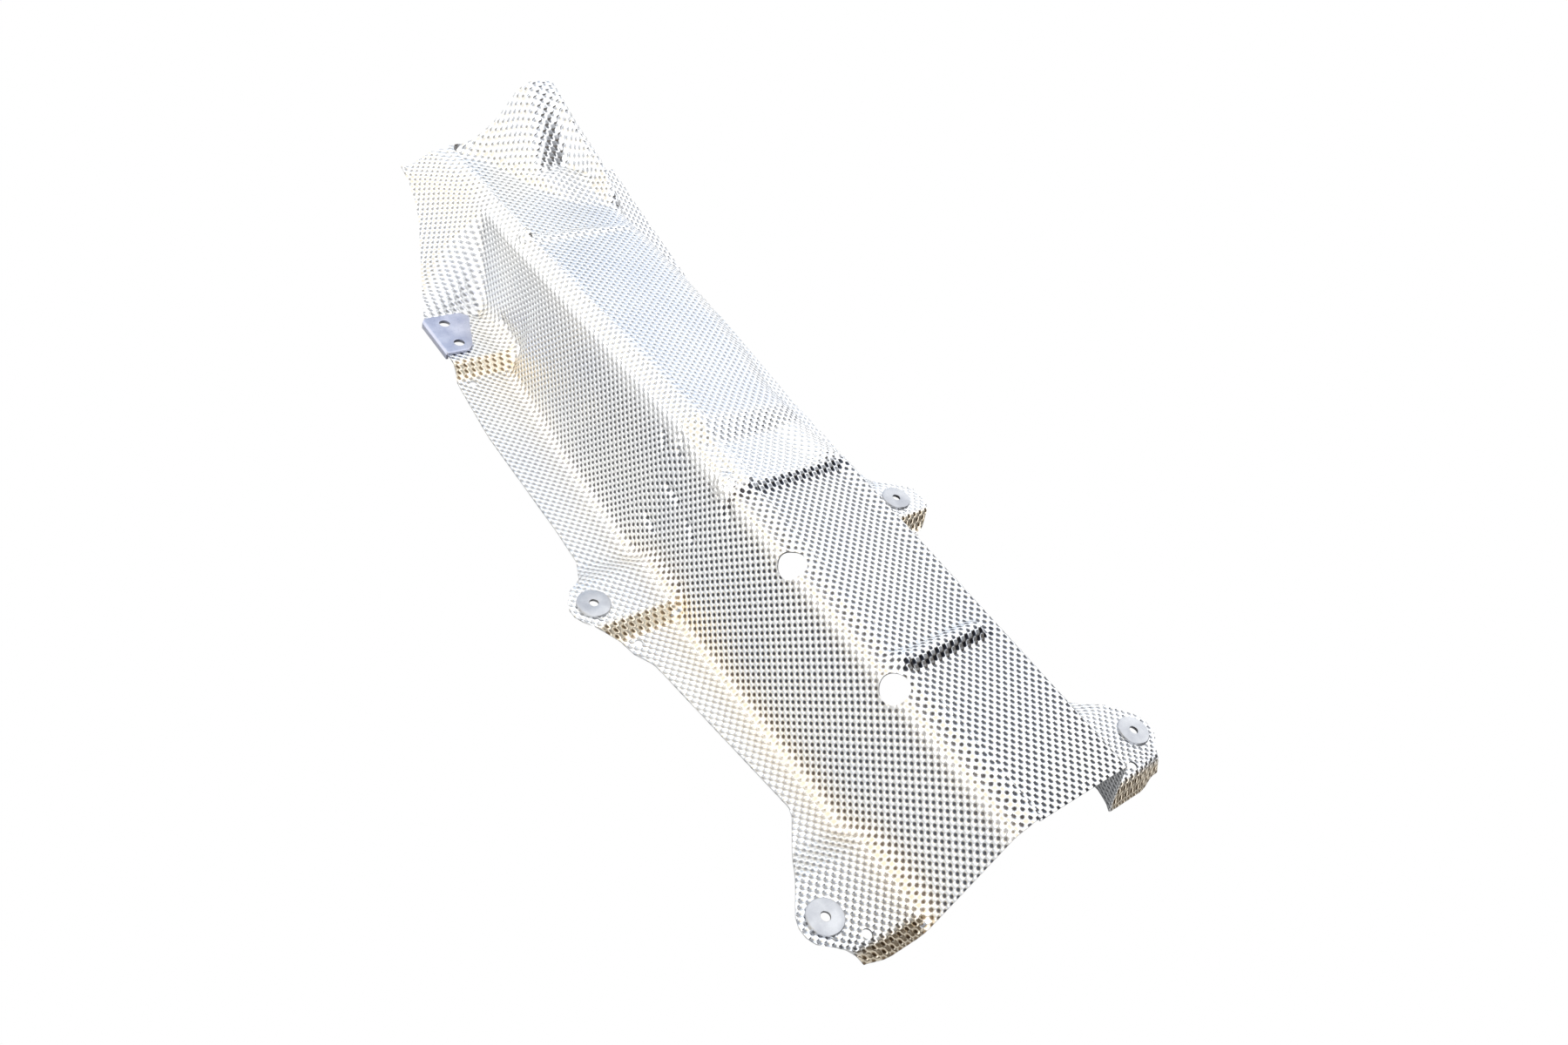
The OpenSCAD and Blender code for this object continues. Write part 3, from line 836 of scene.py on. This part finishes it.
sheet_top = sheet_material("embossed_sheet_top", False)
sheet_under = sheet_material("embossed_sheet_under", True)
sheet.data.materials.append(sheet_top)
sheet.data.materials.append(sheet_under)
THROUGH, PORT_CUT = (80.0, 0.0, 180.0), 30.0    # cutters: middle, tilt and length
cut(sheet, [hole + THROUGH for hole in HOLES]
    + [(x, y, PORT, z, PORT_TILT, PORT_CUT) for x, y, z in PORTS])
shade(sheet.data, 52)    # edges turning more than this stay sharp, as the rim's do
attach(sheet, root)
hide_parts("shield")

# Washers and plate.
washer_steel = steel_material("washer_steel", (0.56, 0.57, 0.59), (0.40, 0.41, 0.44), 0.2)
plate_steel = steel_material("plate_steel", (0.60, 0.62, 0.73), (0.42, 0.45, 0.58), 0.2)


def turned(name, profile, segments, place):
    """A closed ring from an (r, z) profile, in mm."""
    bm = bmesh.new()
    rings = []
    for k in range(segments):
        a = 2 * math.pi * k / segments
        rings.append([bm.verts.new(((place[0] + r * math.cos(a)) * MM,
                                    (place[1] + r * math.sin(a)) * MM,
                                    (place[2] + z) * MM)) for r, z in profile])
    n = len(profile)
    for k in range(segments):
        p, q = rings[k], rings[(k + 1) % segments]
        for m in range(n):
            bm.faces.new((p[m], q[m], q[(m + 1) % n], p[(m + 1) % n]))
    bmesh.ops.recalc_face_normals(bm, faces=bm.faces)
    mesh = bpy.data.meshes.new(name)
    bm.to_mesh(mesh)
    bm.free()
    shade(mesh, 40)
    return new_object(name, mesh)


def corner(cr, cz, r, a0, a1, n=5):
    """n points on an arc round (cr, cz), from angle a0 to a1 in degrees."""
    return [(cr + r * math.cos(math.radians(mix(a0, a1, k / (n - 1)))),
             cz + r * math.sin(math.radians(mix(a0, a1, k / (n - 1))))) for k in range(n)]


ro, ri, wt = WASHER_D / 2, WASHER_BORE / 2, WASHER_T
washer_profile = (corner(ro - 0.7, wt - 0.7, 0.7, 0, 90)
                  + corner(ri + 0.3, wt - 0.3, 0.3, 90, 180)
                  + corner(ri + 0.15, 0.15, 0.15, 180, 270, 3)
                  + corner(ro - 0.15, 0.15, 0.15, 270, 360, 3))
for name, (wx, wy) in WASHERS.items():
    w = turned(name + "_turned", washer_profile, 96, (wx, wy, SHEET + PAD_H))
    w.data.materials.append(washer_steel)
    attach(w, root)
    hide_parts(name)


def plate():
    """The plate on the rear ear: a leaf with slanted corners, folded down at its edge."""
    low, half = -PLATE_W, PLATE_L / 2
    slant, clip = 6.0, 4.0                           # corners cut off, near and far
    tail = -PLATE_W * 0.62                           # end of the leaf's shorter side

    def side_a(y):
        return look(y, (low, half - slant), (tail, slant - half), (tail + slant, -half),
                    (PLATE_T, -half))

    def side_b(y):
        return look(y, (low, half - slant), (low + slant, half), (PLATE_T - clip, half),
                    (PLATE_T, half - clip))

    bend_r = 2.4                                     # outside radius of the fold
    upper, lower = [], []
    for y in np.linspace(low + 0.01, PLATE_T - bend_r, 24):
        upper.append((y, PLATE_T))
        lower.append((y, 0.0))
    for a in np.linspace(75, 0, 6):
        c, d = math.cos(math.radians(a)), math.sin(math.radians(a))
        upper.append((PLATE_T - bend_r + bend_r * c, PLATE_T - bend_r + bend_r * d))
        lower.append((PLATE_T - bend_r + (bend_r - PLATE_T) * c,
                      PLATE_T - bend_r + (bend_r - PLATE_T) * d))
    for z in np.linspace(PLATE_T - bend_r - 1, PLATE_T - PLATE_LIP, 4):
        upper.append((PLATE_T, z))
        lower.append((0.0, z))
    bm = bmesh.new()
    columns = 20
    base = SHEET + PAD_H
    skins = []
    for skin in (upper, lower):
        lines = []
        for (y, z), (yu, _) in zip(skin, upper):
            xa, xb = float(side_a(min(yu, PLATE_T))), float(side_b(min(yu, PLATE_T)))
            lines.append([bm.verts.new(((EAR_B + mix(xa, xb, k / columns)) * MM,
                                        (PLATE_EDGE + y) * MM, (base + z) * MM))
                          for k in range(columns + 1)])
        skins.append(lines)
    up, dn = skins
    for r in range(len(up) - 1):
        for k in range(columns):
            bm.faces.new((up[r][k], up[r][k + 1], up[r + 1][k + 1], up[r + 1][k]))
            bm.faces.new((dn[r][k], dn[r + 1][k], dn[r + 1][k + 1], dn[r][k + 1]))
        for k, turn in ((0, 1), (columns, -1)):
            ring = (up[r][k], up[r + 1][k], dn[r + 1][k], dn[r][k])
            bm.faces.new(ring[::turn])
    for r, turn in ((0, -1), (len(up) - 1, 1)):
        for k in range(columns):
            ring = (up[r][k], up[r][k + 1], dn[r][k + 1], dn[r][k])
            bm.faces.new(ring[::turn])
    bmesh.ops.remove_doubles(bm, verts=bm.verts, dist=1e-7)
    bmesh.ops.recalc_face_normals(bm, faces=bm.faces)
    mesh = bpy.data.meshes.new("rear_plate_folded")
    bm.to_mesh(mesh)
    bm.free()
    obj = new_object("rear_plate_folded", mesh)
    cut(obj, [(EAR_B + side * PLATE_PITCH / 2, PLATE_EDGE - 15, PLATE_HOLE, 15.0, 0.0, 30.0)
              for side in (-1, 1)])
    mod = obj.modifiers.new("edges", "BEVEL")
    mod.width = 0.35 * MM
    mod.segments = 2
    mod.angle_limit = math.radians(50)
    applied(obj)
    shade(obj.data, 40)
    return obj


p = plate()
p.data.materials.clear()    # the boolean leaves an empty slot
p.data.materials.append(plate_steel)
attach(p, root)
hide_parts("rear_plate")

# Floor, light and camera.
# The floor is plain white to the camera, and grey in what the part reflects.
FLOOR_R, FLOOR_TONE = 14, 0.52
bm = bmesh.new()
bmesh.ops.create_circle(bm, cap_ends=True, segments=96, radius=FLOOR_R)
floor_mesh = bpy.data.meshes.new("floor")
bm.to_mesh(floor_mesh)
bm.free()
floor = new_object("floor", floor_mesh)
fmat, ftree, fbsdf = material("floor_white")
fbsdf.inputs["Base Color"].default_value = (FLOOR_TONE, FLOOR_TONE, FLOOR_TONE, 1)
fbsdf.inputs["Roughness"].default_value = 0.9
plain = node(ftree, "ShaderNodeEmission")
straight = node(ftree, "ShaderNodeLightPath").outputs["Is Camera Ray"]
either = node(ftree, "ShaderNodeMixShader")
ftree.links.new(straight, either.inputs[0])
ftree.links.new(fbsdf.outputs[0], either.inputs[1])
ftree.links.new(plain.outputs[0], either.inputs[2])
ftree.links.new(either.outputs[0], ftree.nodes["Material Output"].inputs["Surface"])
floor.data.materials.append(fmat)


def direction(az, el):
    """The unit vector towards an azimuth and elevation in degrees."""
    a, e = math.radians(az), math.radians(el)
    return (math.cos(e) * math.cos(a), math.cos(e) * math.sin(a), math.sin(e))


# soft boxes and cloths, which are dark or grey, round the table: azimuth, elevation, full radius,
# radius where it has faded out, all in degrees, and the light it gives
BOXES = [
    (-29, 27, 8, 24, (0.70, 0.80, 0.95)),
    (60, 55, 16, 36, (1.15, 1.05, 0.86)),
]
AMBIENT = (1.6, 1.62, 1.65)
CLOTHS = [
    (-140, 6, 42, 50, (0.09, 0.07, 0.05)),
    (-130, 42, 14, 24, (0.32, 0.33, 0.35)),
]
world = bpy.data.worlds.new("studio")
scene.world = world
world.use_nodes = True
tree = world.node_tree
back = tree.nodes["Background"]
ray = node(tree, "ShaderNodeTexCoord").outputs["Generated"]


def lobe(az, el, full, faded):
    """1 within full degrees of a direction, 0 past faded degrees."""
    dot = node(tree, "ShaderNodeVectorMath", operation="DOT_PRODUCT")
    tree.links.new(ray, dot.inputs[0])
    dot.inputs[1].default_value = direction(az, el)
    n = node(tree, "ShaderNodeMapRange", interpolation_type="SMOOTHSTEP")
    tree.links.new(dot.outputs["Value"], n.inputs["Value"])
    n.inputs["From Min"].default_value = math.cos(math.radians(faded))
    n.inputs["From Max"].default_value = math.cos(math.radians(full))
    return n.outputs["Result"]


light = AMBIENT
for az, el, full, faded, colour in BOXES:
    light = mixed(tree, lobe(az, el, full, faded), light, colour)
for az, el, full, faded, colour in CLOTHS:
    light = mixed(tree, lobe(az, el, full, faded), light, colour)
seen = node(tree, "ShaderNodeLightPath").outputs["Is Camera Ray"]
light = mixed(tree, seen, light, (1.0, 1.0, 1.0))
tree.links.new(light, back.inputs["Color"])

cam_data = bpy.data.cameras.new("camera")
cam_data.sensor_width = 36.0
cam_data.lens = 27.316        # solved from the photo, as the place and turn below are
cam_data.clip_start, cam_data.clip_end = 0.02, 60
camera = bpy.data.objects.new("camera", cam_data)
scene.collection.objects.link(camera)
camera.matrix_world = Matrix(((-0.5841, 0.6547, -0.4799, -0.5245),
                              (-0.7707, -0.2617, 0.5810, 0.5225),
                              (0.2547, 0.7092, 0.6574, 0.6395),
                              (0, 0, 0, 1)))
scene.camera = camera
scene.view_settings.view_transform = "Standard"
